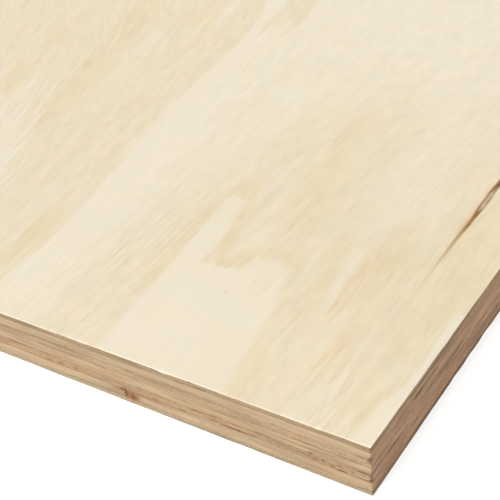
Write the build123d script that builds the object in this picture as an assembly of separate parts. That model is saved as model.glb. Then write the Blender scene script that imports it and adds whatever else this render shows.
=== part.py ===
"""Plywood sheet, 1220 by 2440 by 18 mm: seven pine veneers glued with their grain crossed.

The sheet lies flat with its better face up. X runs along the grain of the face, Y across the
sheet and Z up. The origin is the middle of the underside. Every ply is a solid of its own, and
the plies meet face to face at the glue lines. One corner, at the low end of X and Y, carries the
marks that sawing and handling leave: broken-out end grain, open glue lines and a pitch streak.
"""

import os
from collections import namedtuple

from build123d import *

# Sheet, in millimetres
SHEET_LENGTH = 2440.0  # along the grain of the face
SHEET_WIDTH = 1220.0

# Plies after pressing and sanding, in millimetres
FACE_PLY = 1.9  # face and back veneer, thinned by the sander
CROSS_PLY = 2.84  # plies with their grain across the sheet
LONG_PLY = 2.84  # inner plies with their grain along the sheet

# Edges
ARRIS = 0.3  # round along the edges of both sanded faces
CORNER_ROUND = 0.5  # round on the four upright corners

# Pitch streak: a long narrow pocket in the face veneer, along its grain
STREAK_LENGTH = 116.0
STREAK_WIDTH = 2.4
STREAK_DEPTH = 0.6
STREAK_FROM_END = 78.0  # from the sawn end to the near tip of the streak
STREAK_FROM_SIDE = 18.3  # from the long edge to the middle of the streak

# Scoop that breaks out of the end grain at the corner, one in each inner long ply
BREAKOUT_RADIUS = 1.3

# Open glue lines: lens-shaped gaps, seen on an edge
GAP_DEPTH = 2.0  # how far a gap runs in from its edge
Gap = namedtuple("Gap", "edge above from_corner length height")
OPEN_GLUE_LINES = [
    Gap(edge="side", above="long_ply_upper", from_corner=32.0, length=21.0, height=0.40),
    Gap(edge="side", above="long_ply_lower", from_corner=55.0, length=13.0, height=0.30),
    Gap(edge="end", above="crossband_lower", from_corner=42.0, length=12.0, height=0.40),
    Gap(edge="end", above="long_ply_lower", from_corner=43.5, length=8.0, height=0.30),
    Gap(edge="end", above="long_ply_lower", from_corner=124.0, length=10.0, height=0.30),
]

# The lay-up, from the underside to the face
LAY_UP = {
    "back_veneer": FACE_PLY,
    "crossband_lower": CROSS_PLY,
    "long_ply_lower": LONG_PLY,
    "crossband_core": CROSS_PLY,
    "long_ply_upper": LONG_PLY,
    "crossband_upper": CROSS_PLY,
    "face_veneer": FACE_PLY,
}

END = -SHEET_LENGTH / 2  # the sawn end that carries the marks
SIDE = -SHEET_WIDTH / 2  # the long edge that carries the marks


def underside_of(ply):
    """Height of the glue line under a ply."""
    names = list(LAY_UP)
    return sum(LAY_UP[name] for name in names[: names.index(ply)])


def top_of(ply):
    """Height of the glue line, or of the sanded face, on top of a ply."""
    return underside_of(ply) + LAY_UP[ply]


def veneer(ply):
    """One ply as it is trimmed with the sheet: a flat slab with small upright rounds."""
    outline = RectangleRounded(SHEET_LENGTH, SHEET_WIDTH, CORNER_ROUND)
    return Pos(0, 0, underside_of(ply)) * extrude(outline, LAY_UP[ply])


def with_sanded_arris(slab, outer):
    """Round the edges that the sander reaches, around one face of a slab."""
    face = slab.faces().sort_by(Axis.Z)[outer]
    radius = min(ARRIS, CORNER_ROUND / 2, FACE_PLY / 3)
    return fillet(face.edges(), radius)


def lens(length, width):
    """Outline of a split: two shallow arcs that meet in a point at each end."""
    tip = length / 2
    crown = width / 2
    arcs = [
        ThreePointArc((-tip, 0), (0, crown), (tip, 0)),
        ThreePointArc((tip, 0), (0, -crown), (-tip, 0)),
    ]
    return make_face(arcs)


def pitch_streak():
    """The pocket that the pitch streak leaves in the face veneer."""
    middle = END + STREAK_FROM_END + STREAK_LENGTH / 2
    surface = Plane((middle, SIDE + STREAK_FROM_SIDE, top_of("face_veneer")))
    return extrude(surface * lens(STREAK_LENGTH, STREAK_WIDTH), STREAK_DEPTH, both=True)


def breakout(ply):
    """The scoop of end grain that is missing at the corner of a long ply."""
    radius = min(BREAKOUT_RADIUS, LAY_UP[ply] / 2)
    return Pos(END, SIDE, underside_of(ply) + LAY_UP[ply] / 2) * Sphere(radius)


def open_glue_line(gap):
    """The lens-shaped slot where the glue line over a ply has opened, on its edge."""
    height = top_of(gap.above)
    if gap.edge == "end":
        edge = Plane((END, SIDE + gap.from_corner, height), x_dir=(0, 1, 0), z_dir=(1, 0, 0))
    else:
        edge = Plane((END + gap.from_corner, SIDE, height), x_dir=(1, 0, 0), z_dir=(0, 1, 0))
    return extrude(edge * lens(gap.length, gap.height), GAP_DEPTH, both=True)


def build_sheet():
    """Every ply of the sheet, by name."""
    plies = {ply: veneer(ply) for ply in LAY_UP}
    plies["face_veneer"] = with_sanded_arris(plies["face_veneer"], outer=-1) - pitch_streak()
    plies["back_veneer"] = with_sanded_arris(plies["back_veneer"], outer=0)
    for ply in ("long_ply_lower", "long_ply_upper"):
        plies[ply] -= breakout(ply)
    names = list(LAY_UP)
    for gap in OPEN_GLUE_LINES:
        over = names[names.index(gap.above) + 1]
        for ply in (gap.above, over):
            plies[ply] -= open_glue_line(gap)
    return plies


os.makedirs("parts", exist_ok=True)
for node, solid in build_sheet().items():
    export_step(solid, f"parts/{node}.step")
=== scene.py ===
"""Looks of a plywood sheet: seven pine plies with sawn edges and a sanded face, on a plain stage.

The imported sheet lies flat, X along the grain of the face. One of its corners carries the marks of
the photograph. Places on the sheet are in millimetres from that marked corner: u along the long
edge, v along the short end, and depth down from the face.
"""

import math
from collections import namedtuple

import bpy
import numpy as np
from bpy.props import FloatProperty, FloatVectorProperty, PointerProperty
from mathutils import Matrix, Vector


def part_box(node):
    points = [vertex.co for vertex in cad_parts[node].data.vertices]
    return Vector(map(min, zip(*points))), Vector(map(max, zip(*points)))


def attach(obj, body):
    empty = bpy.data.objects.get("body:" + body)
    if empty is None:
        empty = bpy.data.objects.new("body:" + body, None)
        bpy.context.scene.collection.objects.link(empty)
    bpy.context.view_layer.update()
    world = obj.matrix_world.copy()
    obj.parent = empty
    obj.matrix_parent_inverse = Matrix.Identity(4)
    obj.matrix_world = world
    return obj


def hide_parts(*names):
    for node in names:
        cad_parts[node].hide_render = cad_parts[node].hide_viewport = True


bl_info = {
    "name": "Plywood Sheet",
    "version": (1, 0, 0),
    "blender": (4, 5, 0),
    "location": "View3D > Sidebar > Plywood",
    "description": "Dresses a seven-ply pine sheet with a sanded face and sawn edges",
    "category": "Object",
}

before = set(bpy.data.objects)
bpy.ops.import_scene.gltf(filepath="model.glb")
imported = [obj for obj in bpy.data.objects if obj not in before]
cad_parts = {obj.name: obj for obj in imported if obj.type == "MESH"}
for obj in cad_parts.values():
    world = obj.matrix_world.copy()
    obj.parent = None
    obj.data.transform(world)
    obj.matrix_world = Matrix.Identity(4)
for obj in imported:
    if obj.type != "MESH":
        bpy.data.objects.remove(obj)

MM = 0.001
BODY = "root"

# A ply: its material's slot, the way its grain runs, and the colour of its cut edges, on the short
# ends and on the long sides
Ply = namedtuple("Ply", "name slot grain end_tone side_tone")
PLIES = [
    Ply("face_veneer", "face_veneer", "long", (0.672, 0.572, 0.450), (0.665, 0.545, 0.413)),
    Ply("crossband_upper", "crossband", "cross", (0.758, 0.656, 0.527), (0.695, 0.564, 0.442)),
    Ply("long_ply_upper", "long_ply", "long", (0.728, 0.616, 0.487), (0.736, 0.592, 0.470)),
    Ply("crossband_core", "crossband", "cross", (0.774, 0.666, 0.531), (0.763, 0.614, 0.486)),
    Ply("long_ply_lower", "long_ply", "long", (0.715, 0.595, 0.465), (0.743, 0.592, 0.474)),
    Ply("crossband_lower", "crossband", "cross", (0.766, 0.665, 0.532), (0.754, 0.605, 0.481)),
    Ply("back_veneer", "back_veneer", "long", (0.708, 0.630, 0.520), (0.618, 0.502, 0.402)),
]

SHEET_LOW = Vector([min(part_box(ply.name)[0][axis] for ply in PLIES) for axis in range(3)])
SHEET_HIGH = Vector([max(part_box(ply.name)[1][axis] for ply in PLIES) for axis in range(3)])
SHEET = (SHEET_HIGH - SHEET_LOW) / MM
MARKED_CORNER = Vector((SHEET_LOW.x, SHEET_LOW.y, SHEET_HIGH.z))

# The pitch streak's pocket in the face, as the solid has it
STREAK_START = 78.0
STREAK_LENGTH = 116.0
STREAK_WIDTH = 2.4
STREAK_ACROSS = 18.3

# The groove in that pocket
STREAK_LEAN = 0.007  # how it climbs across the sheet for each millimetre along it
STREAK_LEVEL_AT = 126.0  # the u at which it lies in the middle of the pocket
STREAK_WANDER = 0.2  # how far it strays across
STREAK_WANDER_LENGTH = 11.0
STREAK_ROUGH = 0.35  # how much its depth varies, as a share
STREAK_ROUGH_LENGTH = 2.5
STREAK_ROUGH_WIDTH = 0.5
STREAK_SEED = 31
STREAK_SHALLOW = 0.3  # half width up to which it has no depth
STREAK_DEEP = 0.8  # half width from which it has its full depth
WALL_SHARE = 0.35  # part of the half width that its sloping wall takes
RIB_SHARE = 0.6  # part of the half width that the rib of wood along its middle takes
RIB_HEIGHT = 0.55  # of the rib, as a share of the groove's depth
RIB_START = 26.0  # where the rib starts, from the near tip of the pocket
RIB_RISE = 12.0  # how long the rib takes to rise

# The mesh over the pitch streak
GRID_MARGIN = 3.0  # how far the grid reaches past the streak
GRID_STEP = 1.0
GRID_LINES = 49

# A mark on a cut edge: its middle, its half sizes, how far it bites into the wood, and its colour;
# a torn mark's dark colour is torn wood with painted shade in the tear
Mark = namedtuple("Mark", "edge place depth length height bite stain strength")
MARKS = [
    Mark("end", 53.8, 1.7, 3.6, 0.35, 0.10, "torn", 0.80),
    Mark("end", 60.5, 1.9, 2.4, 0.25, 0.05, "torn", 0.40),
    Mark("end", 103.3, 4.4, 0.9, 0.35, 0.10, "torn", 0.45),
    Mark("end", 79.0, 5.1, 1.8, 0.30, 0.08, "torn", 0.40),
    Mark("end", 38.0, 4.9, 2.0, 0.28, 0.08, "torn", 0.40),
    Mark("end", 29.5, 4.7, 1.2, 0.30, 0.08, "torn", 0.40),
    Mark("end", 3.0, 5.0, 3.0, 0.50, 0.10, "torn", 0.35),
    Mark("end", 90.0, 7.4, 3.4, 0.28, 0.10, "torn", 0.50),
    Mark("end", 78.0, 7.5, 3.0, 0.24, 0.08, "torn", 0.35),
    Mark("end", 35.0, 7.4, 3.4, 0.26, 0.10, "torn", 0.50),
    Mark("end", 20.0, 7.4, 7.5, 0.26, 0.12, "torn", 0.55),
    Mark("end", 7.0, 7.4, 7.5, 0.26, 0.12, "torn", 0.55),
    Mark("end", 14.0, 8.7, 12.0, 0.20, 0.06, "torn", 0.30),
    Mark("end", 12.0, 9.6, 9.0, 0.20, 0.06, "torn", 0.35),
    Mark("end", 125.0, 10.6, 6.5, 0.32, 0.25, "torn", 0.60),
    Mark("end", 113.0, 10.9, 4.0, 0.24, 0.12, "torn", 0.40),
    Mark("end", 75.8, 10.6, 1.8, 0.28, 0.10, "torn", 0.45),
    Mark("end", 49.0, 10.4, 3.4, 0.34, 0.20, "torn", 0.45),
    Mark("end", 42.5, 10.7, 3.6, 0.30, 0.35, "torn", 0.60),
    Mark("end", 34.0, 10.5, 4.0, 0.24, 0.15, "torn", 0.40),
    Mark("end", 56.3, 11.0, 2.6, 0.34, 0.12, "torn", 0.55),
    Mark("end", 18.7, 10.6, 1.3, 0.40, 0.30, "torn", 0.90),
    Mark("end", 2.6, 10.5, 3.0, 0.30, 0.40, "torn", 0.95),
    Mark("end", 43.0, 12.5, 7.4, 0.36, 0.45, "torn", 0.85),
    Mark("end", 50.0, 12.2, 3.0, 0.26, 0.20, "torn", 0.50),
    Mark("end", 36.8, 12.2, 2.6, 0.30, 0.20, "torn", 0.50),
    Mark("end", 60.9, 12.8, 1.9, 0.30, 0.15, "torn", 0.70),
    Mark("end", 71.0, 12.6, 2.0, 0.30, 0.12, "torn", 0.60),
    Mark("end", 89.0, 12.2, 1.6, 0.24, 0.10, "torn", 0.35),
    Mark("end", 100.9, 12.2, 1.3, 0.55, 0.15, "knot", 1.00),
    Mark("end", 106.9, 12.4, 1.5, 0.35, 0.15, "torn", 0.70),
    Mark("end", 111.5, 12.7, 2.0, 0.30, 0.15, "torn", 0.55),
    Mark("end", 21.0, 11.6, 1.3, 0.40, 0.20, "torn", 0.45),
    Mark("end", 17.5, 12.2, 1.0, 0.55, 0.25, "torn", 0.55),
    Mark("end", 14.6, 11.5, 0.9, 0.60, 0.22, "torn", 0.50),
    Mark("end", 11.8, 12.3, 1.0, 0.50, 0.25, "torn", 0.65),
    Mark("end", 9.6, 11.3, 1.3, 0.40, 0.22, "torn", 0.55),
    Mark("end", 9.0, 12.8, 2.2, 0.26, 0.30, "torn", 0.75),
    Mark("end", 5.5, 12.0, 1.0, 0.40, 0.20, "torn", 0.50),
    Mark("end", 85.0, 14.3, 4.0, 1.20, 0.00, "knot", 0.50),
    Mark("end", 80.0, 14.7, 4.6, 2.10, 0.05, "knot", 1.10),
    Mark("end", 81.9, 14.4, 0.9, 2.00, 0.12, "torn", 1.00),
    Mark("end", 83.0, 13.5, 1.6, 0.70, 0.05, "torn", 0.80),
    Mark("end", 79.3, 15.3, 0.8, 1.10, 0.10, "torn", 0.90),
    Mark("end", 77.9, 15.0, 0.6, 1.00, 0.05, "torn", 0.40),
    Mark("end", 54.5, 15.0, 1.1, 0.60, 0.05, "knot", 0.40),
    Mark("end", 1.6, 15.8, 0.7, 0.50, 0.05, "knot", 0.60),
    Mark("end", 84.0, 2.7, 13.0, 0.45, 0.00, "bare", 0.30),
    Mark("end", 72.5, 0.8, 3.6, 0.50, 0.00, "bare", 0.30),
    Mark("side", 28.5, 4.7, 5.0, 0.50, 0.45, "torn", 0.80),
    Mark("side", 37.0, 4.6, 6.0, 0.32, 0.35, "torn", 0.65),
    Mark("side", 18.0, 5.0, 8.5, 0.30, 0.20, "torn", 0.50),
    Mark("side", 34.0, 3.2, 10.0, 0.25, 0.00, "bare", 0.45),
    Mark("side", 21.0, 6.7, 4.4, 0.50, 0.12, "torn", 0.40),
    Mark("side", 9.5, 8.0, 5.4, 0.30, 0.15, "torn", 0.65),
    Mark("side", 4.0, 7.3, 4.4, 0.30, 0.12, "torn", 0.50),
    Mark("side", 10.0, 8.7, 9.5, 0.22, 0.00, "bare", 0.40),
    Mark("side", 14.0, 10.3, 6.6, 0.42, 0.12, "torn", 0.60),
    Mark("side", 54.0, 8.2, 8.5, 0.60, 0.08, "torn", 0.35),
    Mark("side", 52.0, 10.4, 10.5, 0.40, 0.28, "torn", 0.40),
    Mark("side", 26.2, 13.0, 3.0, 0.40, 0.10, "torn", 0.50),
    Mark("side", 10.0, 14.6, 6.5, 0.55, 0.05, "knot", 0.45),
    Mark("side", 16.5, 14.4, 2.0, 0.40, 0.05, "knot", 0.65),
    Mark("side", 3.2, 15.2, 2.0, 0.60, 0.05, "knot", 0.60),
    Mark("side", 66.0, 14.0, 9.0, 0.80, 0.05, "knot", 0.30),
    Mark("side", 84.0, 14.2, 6.0, 0.80, 0.05, "knot", 0.30),
]

# Where end grain broke out of the corner: depth of its middle, reach in from the corner
Breakout = namedtuple("Breakout", "depth reach")
BREAKOUTS = [Breakout(4.9, 1.3), Breakout(10.8, 0.9), Breakout(12.4, 0.8)]

# Dents that handling left in an arris: middle, half length, how much wider the arris is there
Dent = namedtuple("Dent", "edge place length drop")
FACE_DENTS = [
    Dent("end", 66.0, 3.2, 0.30),
    Dent("end", 15.5, 2.2, 0.22),
    Dent("end", 96.0, 4.0, 0.15),
    Dent("side", 47.0, 5.0, 0.18),
]
BACK_DENTS = [
    Dent("side", 52.0, 4.5, 0.35),
    Dent("side", 63.0, 5.0, 0.45),
    Dent("side", 75.0, 5.5, 0.50),
    Dent("end", 40.0, 6.0, 0.15),
]


def srgb(red, green, blue):
    """Linear colour of an sRGB one, with parts from 0 to 1."""
    parts = []
    for part in (red, green, blue):
        low = part <= 0.04045
        parts.append(part / 12.92 if low else ((part + 0.055) / 1.055) ** 2.4)
    return (*parts, 1.0)


# Settings that a user would change


class PLYWOOD_PG_sizes(bpy.types.PropertyGroup):
    """Sizes of the finish."""

    face_arris: FloatProperty(
        name="Face arris",
        description="Round that sanding leaves along the edges of the face",
        default=0.35 * MM,
        min=0.0,
        unit="LENGTH",
    )
    back_arris: FloatProperty(
        name="Back arris",
        description="Round that sanding leaves along the edges of the back",
        default=0.15 * MM,
        min=0.0,
        unit="LENGTH",
    )
    corner_round: FloatProperty(
        name="Corner round",
        description="Round on the four upright corners",
        default=0.5 * MM,
        min=0.0,
        unit="LENGTH",
    )
    fine_step: FloatProperty(
        name="Fine step",
        description="Spacing of the mesh along the edges near the marked corner",
        default=0.35 * MM,
        min=0.1 * MM,
        unit="LENGTH",
    )
    coarse_step: FloatProperty(
        name="Coarse step",
        description="Spacing of the mesh along the edges far from the marked corner",
        default=4.0 * MM,
        min=1.0 * MM,
        unit="LENGTH",
    )
    saw_relief: FloatProperty(
        name="Saw relief",
        description="How far the saw tore into the plies",
        default=0.09 * MM,
        min=0.0,
        unit="LENGTH",
    )
    glue_line_waver: FloatProperty(
        name="Glue line waver",
        description="How far a glue line strays up and down, because veneer varies in thickness",
        default=0.16 * MM,
        min=0.0,
        unit="LENGTH",
    )
    streak_depth: FloatProperty(
        name="Streak depth",
        description="Depth of the pitch streak in the face",
        default=0.25 * MM,
        min=0.0,
        unit="LENGTH",
    )


class PLYWOOD_PG_colours(bpy.types.PropertyGroup):
    """Colours of the wood, as they look in plain light."""

    pale: FloatVectorProperty(
        name="Pale wood",
        description="Earlywood of the face",
        default=(0.938, 0.893, 0.806),
        subtype="COLOR_GAMMA",
        min=0.0,
        max=1.0,
    )
    tan: FloatVectorProperty(
        name="Tan wood",
        description="Darker wood beside the growth rings of the face",
        default=(0.918, 0.860, 0.742),
        subtype="COLOR_GAMMA",
        min=0.0,
        max=1.0,
    )
    honey: FloatVectorProperty(
        name="Honey wood",
        description="Yellow-brown latewood bands and ring lines of the face",
        default=(0.908, 0.838, 0.690),
        subtype="COLOR_GAMMA",
        min=0.0,
        max=1.0,
    )
    rust: FloatVectorProperty(
        name="Rust wood",
        description="Orange-brown flames in the face",
        default=(0.895, 0.790, 0.645),
        subtype="COLOR_GAMMA",
        min=0.0,
        max=1.0,
    )
    pitch: FloatVectorProperty(
        name="Pitch",
        description="Dark bark and pitch in the streak",
        default=(0.545, 0.355, 0.085),
        subtype="COLOR_GAMMA",
        min=0.0,
        max=1.0,
    )
    # The torn colour is torn wood and painted shade: its dark stands in partly for shade in tears, open
    # glue lines and broken corners
    torn: FloatVectorProperty(
        name="Torn grain",
        description="Dark wood in tears, open glue lines and broken corners",
        default=(0.470, 0.325, 0.225),
        subtype="COLOR_GAMMA",
        min=0.0,
        max=1.0,
    )
    knot: FloatVectorProperty(
        name="Knot",
        description="Red-brown wood where a small knot shows in a cut edge",
        default=(0.640, 0.465, 0.315),
        subtype="COLOR_GAMMA",
        min=0.0,
        max=1.0,
    )
    bare: FloatVectorProperty(
        name="Bare fibre",
        description="Light fibre that the saw left standing in a cut edge",
        default=(0.870, 0.760, 0.630),
        subtype="COLOR_GAMMA",
        min=0.0,
        max=1.0,
    )


class PLYWOOD_PG_stage(bpy.types.PropertyGroup):
    """The camera, lamps and floor."""

    camera_place: FloatVectorProperty(
        name="Camera place",
        description="The camera from the marked corner of the face",
        default=(-0.17742, -0.10041, 0.20503),
        subtype="XYZ",
        unit="LENGTH",
        precision=4,
    )
    camera_heading: FloatProperty(
        name="Heading",
        description="Direction of view in plan, from X towards Y",
        default=math.radians(36.373),
        subtype="ANGLE",
    )
    camera_dip: FloatProperty(
        name="Dip",
        description="How far the camera looks down",
        default=math.radians(34.681),
        subtype="ANGLE",
    )
    camera_roll: FloatProperty(
        name="Roll",
        description="Turn of the picture about the direction of view",
        default=math.radians(-6.830),
        subtype="ANGLE",
    )
    lens: FloatProperty(
        name="Lens",
        description="Focal length on a 36 mm sensor",
        default=80.38,
        subtype="DISTANCE_CAMERA",
    )
    sky: FloatProperty(
        name="Sky",
        description="Strength of the soft light from all round",
        default=0.50,
        min=0.0,
    )
    sun: FloatProperty(
        name="Sun",
        description="Strength of the main lamp",
        default=2.05,
        min=0.0,
    )
    sun_heading: FloatProperty(
        name="Sun heading",
        description="Direction in which the main light travels, from X towards Y",
        default=math.radians(-20.0),
        subtype="ANGLE",
    )
    sun_height: FloatProperty(
        name="Sun height",
        description="Height of the main lamp above the horizon",
        default=math.radians(50.0),
        subtype="ANGLE",
    )


# The sheet's outline and the relief of its cut edges

# Random heights, and how far a seed moves a relief among them
LATTICE_SIZE = 256
LATTICE = np.random.default_rng(18).uniform(-1.0, 1.0, (LATTICE_SIZE, LATTICE_SIZE))
SEED_ALONG = 17.3
SEED_ACROSS = 5.7


def eased(share):
    """A share from 0 to 1 that leaves 0 and reaches 1 gently."""
    return share**2 * (3 - 2 * share)


def ripple(along, across, seed):
    """Smooth random height from -1 to 1, with one swell for each unit of its two places."""
    along = np.asarray(along) + SEED_ALONG * seed
    across = np.asarray(across) + SEED_ACROSS * seed
    cell_a, cell_b = np.floor(along).astype(int), np.floor(across).astype(int)
    ease_a, ease_b = eased(along - cell_a), eased(across - cell_b)

    def height(step_a, step_b):
        return LATTICE[(cell_a + step_a) % LATTICE_SIZE, (cell_b + step_b) % LATTICE_SIZE]

    near = height(0, 0) * (1 - ease_a) + height(1, 0) * ease_a
    far = height(0, 1) * (1 - ease_a) + height(1, 1) * ease_a
    return near * (1 - ease_b) + far * ease_b


def bump(distance):
    """1 at distance 0, falling smoothly to 0 at distance 1."""
    return eased(np.clip(1 - np.abs(distance), 0, 1))


FINE_REACH = 150.0  # how far the fine steps go from the marked corner
STEP_GROWTH = 1.06  # by which each step is longer than the last beyond that
LAST_STEP = 1.5  # the longest that the last step may be, in coarse ones


def graded_places(length, fine, coarse):
    """Places along an edge: fine steps near the marked corner, then growing to coarse ones."""
    places = list(np.arange(0.0, FINE_REACH, fine))
    step = fine
    while places[-1] + LAST_STEP * coarse < length:
        step = min(step * STEP_GROWTH, coarse)
        places.append(places[-1] + step)
    return np.array([*places, length])


class Outline:
    """The sheet's perimeter, anticlockwise from the marked corner, in millimetres from it."""

    EDGES = ("side", "far_end", "far_side", "end")
    ARC_STEPS = 4

    def __init__(self, sizes):
        length, width = SHEET.x, SHEET.y
        corner = sizes.corner_round / MM
        fine, coarse = sizes.fine_step / MM, sizes.coarse_step / MM
        straight = {
            "side": graded_places(length - 2 * corner, fine, coarse),
            "far_end": np.linspace(0, width - 2 * corner, int(width / coarse)),
            "far_side": np.linspace(0, length - 2 * corner, int(length / coarse)),
            "end": width - 2 * corner - graded_places(width - 2 * corner, fine, coarse)[::-1],
        }
        starts = {
            "side": (0, 0),
            "far_end": (length, 0),
            "far_side": (length, width),
            "end": (0, width),
        }
        points, normals, edges = [], [], []
        for turn, edge in enumerate(self.EDGES):
            heading = turn * math.pi / 2
            ahead = np.array([math.cos(heading), math.sin(heading)])
            outward = np.array([ahead[1], -ahead[0]])
            start = np.array(starts[edge]) + ahead * corner
            for place in straight[edge]:
                points.append(start + ahead * place)
                normals.append(outward)
                edges.append(edge)
            centre = points[-1] - outward * corner
            for step in range(1, self.ARC_STEPS):
                angle = heading - math.pi / 2 + step / self.ARC_STEPS * math.pi / 2
                spoke = np.array([math.cos(angle), math.sin(angle)])
                points.append(centre + spoke * corner)
                normals.append(spoke)
                edges.append(edge)
        self.points = np.array(points)
        self.normals = np.array(normals)
        self.edges = np.array(edges)
        steps = np.linalg.norm(np.roll(self.points, -1, axis=0) - self.points, axis=1)
        self.run = np.concatenate([[0.0], np.cumsum(steps)])

    def place_on(self, edge):
        """How far each column stands from the marked corner along one of its two edges."""
        return self.points[:, 0] if edge == "side" else self.points[:, 1]

    def on(self, edge):
        """1 for the columns of an edge, and 0 for the rest."""
        return (self.edges == edge).astype(float)


# The relief of a cut edge: how long its swells are along the edge and down it, and how high
Swell = namedtuple("Swell", "along down height")
WAVES = Swell(38.0, 2.0, 0.45)
SAW_LINES = Swell(1.6, 9.0, 0.30)
FIBRES = Swell(7.0, 0.5, 0.35)
PITS = Swell(2.2, 0.7, 2.2)
PIT_RIM = 0.45  # random heights below this make no pit
RAGGED_BREAK = Swell(0.6, 0.5, 0.25)
BREAK_DEPTH = 0.7  # of a breakout, as a share of its reach


def cut_relief(outline, depth, ply, seed, sizes):
    """How far the cut edge of a ply lies inside its outline, at each column's depth from the face."""
    tear = sizes.saw_relief / MM
    run = outline.run[:-1]
    end_grain = np.isin(outline.edges, ("end", "far_end")) == (ply.grain == "long")

    def random_height(swell, own_seed):
        return ripple(run / swell.along, depth / swell.down, own_seed)

    waves = WAVES.height * (1 + random_height(WAVES, seed))
    saw_lines = SAW_LINES.height * (1 + random_height(SAW_LINES, seed + 1))
    fibres = FIBRES.height * (1 + random_height(FIBRES, seed + 2))
    pits = PITS.height * np.clip(random_height(PITS, seed + 3) - PIT_RIM, 0, 1)
    relief = tear * (waves + saw_lines + np.where(end_grain, pits, fibres))
    for mark in MARKS:
        place = outline.place_on(mark.edge)
        reach = np.hypot((place - mark.place) / mark.length, (depth - mark.depth) / mark.height)
        relief = relief + outline.on(mark.edge) * mark.bite * bump(reach)
    corner = np.hypot(outline.points[:, 0], outline.points[:, 1])
    for breakout in BREAKOUTS:
        reach = np.hypot(corner, depth - breakout.depth) / breakout.reach
        ragged = 1 + RAGGED_BREAK.height * random_height(RAGGED_BREAK, seed + 4)
        relief = relief + BREAK_DEPTH * breakout.reach * bump(reach * ragged)
    return relief


ARRIS_WAVER = 0.25  # how much the radius of a sanded arris varies, as a share
ARRIS_WAVER_LENGTH = 9.0
SIDE_ARRIS = 0.2  # how much more the sander took off the arris of the marked long edge, as a share


def arris_radius(outline, radius, dents, seed):
    """Radius of a sanded arris at each column, wider where handling dented it."""
    run = outline.run[:-1]
    waver = 1 + ARRIS_WAVER * ripple(run / ARRIS_WAVER_LENGTH, 0 * run, seed)
    radii = radius * waver * (1 + SIDE_ARRIS * outline.on("side"))
    for dent in dents:
        reach = (outline.place_on(dent.edge) - dent.place) / dent.length
        radii = radii + outline.on(dent.edge) * dent.drop * bump(reach)
    return radii


SLOW_WAVER_LENGTH = 42.0  # of a glue line
QUICK_WAVER_LENGTH = 9.0
QUICK_WAVER = 0.35  # how far the quick waver strays, as a share of the slow one
QUICK_WAVER_SEED = 40  # how far its seed lies from the slow one's
THINNEST_PLY = 0.5 * MM  # a height nearer to an outer face than this is that face's own


def glue_line(outline, height, sizes):
    """Height of a glue line, or of an outer face, at each column: a glue line wavers a little."""
    level = np.full(len(outline.points), height / MM)
    if min(height - SHEET_LOW.z, SHEET_HIGH.z - height) < THINNEST_PLY:
        return level
    plan_x, plan_y = outline.points[:, 0], outline.points[:, 1]
    slow = ripple(plan_x / SLOW_WAVER_LENGTH, plan_y / SLOW_WAVER_LENGTH, height / MM)
    quick_seed = height / MM + QUICK_WAVER_SEED
    quick = ripple(plan_x / QUICK_WAVER_LENGTH, plan_y / QUICK_WAVER_LENGTH, quick_seed)
    return level + sizes.glue_line_waver / MM * (slow + QUICK_WAVER * quick)


# A row of vertices round a cut edge: for each column, the height above the underside of the sheet
# and the inset from the outline, in millimetres
Row = namedtuple("Row", "height inset")

# Where a ply has its rows, as shares of its thickness, and the steps round a sanded arris
PLY_ROWS = (0.0, 0.05, 0.14, 0.26, 0.38, 0.5, 0.62, 0.74, 0.86, 0.95, 1.0)
ARRIS_STEPS = 4


def edge_rows(outline, ply, seed, sizes):
    """The rows up a ply's cut edge and round its sanded arris, if it has one."""
    low, high = (glue_line(outline, corner.z, sizes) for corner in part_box(ply.name))
    top = SHEET_HIGH.z / MM
    over = under = np.zeros_like(low)
    if ply.name == "face_veneer":
        over = arris_radius(outline, sizes.face_arris / MM, FACE_DENTS, seed)
    if ply.name == "back_veneer":
        under = arris_radius(outline, sizes.back_arris / MM, BACK_DENTS, seed)
    rows = []
    for share in PLY_ROWS:
        depth = top - (low + share * (high - low))
        height = low + under + share * (high - low - under - over)
        rows.append(Row(height, cut_relief(outline, depth, ply, seed, sizes)))
    for step in range(1, ARRIS_STEPS + 1):
        angle = step / ARRIS_STEPS * math.pi / 2
        rise, draw_in = math.sin(angle), 1 - math.cos(angle)
        if ply.name == "face_veneer":
            edge = rows[len(PLY_ROWS) - 1].inset
            rows.append(Row(high - over * (1 - rise), edge + over * draw_in))
        if ply.name == "back_veneer":
            edge = rows[step - 1].inset
            rows.insert(0, Row(low + under * (1 - rise), edge + under * draw_in))
    return rows


def wall_vertices(outline, rows):
    """Vertices of a ply's cut edge, row by row, in metres in the sheet's frame."""
    layers = []
    for row in rows:
        plan = outline.points - outline.normals * row.inset[:, None]
        layers.append(np.column_stack([plan, row.height]))
    vertices = np.concatenate(layers)
    vertices[:, :2] += np.array([MARKED_CORNER.x, MARKED_CORNER.y]) / MM
    return vertices * MM


# Meshes

# Areas of a bake map, as shares of its height, over its full width. A veneer's shown face takes
# most of its map, and an inner ply's cut edge nearly all of its own.
MapArea = namedtuple("MapArea", "low high")
SHOWN_FACE = MapArea(0.145, 1)
HIDDEN_FACE = MapArea(0, 0.015)
OTHER_HIDDEN_FACE = MapArea(0.02, 0.035)
VENEER_EDGE = MapArea(0.02, 0.14)
INNER_EDGE = MapArea(0.04, 1)

# Strips that the perimeter is laid out in on a bake map
VENEER_STRIPS = 6
INNER_STRIPS = 16
STRIP_MARGIN = 0.06  # share of its height that stays free at either side of a strip

SHARP_ANGLE = math.radians(50)  # edges that turn more than this stay sharp


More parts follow.
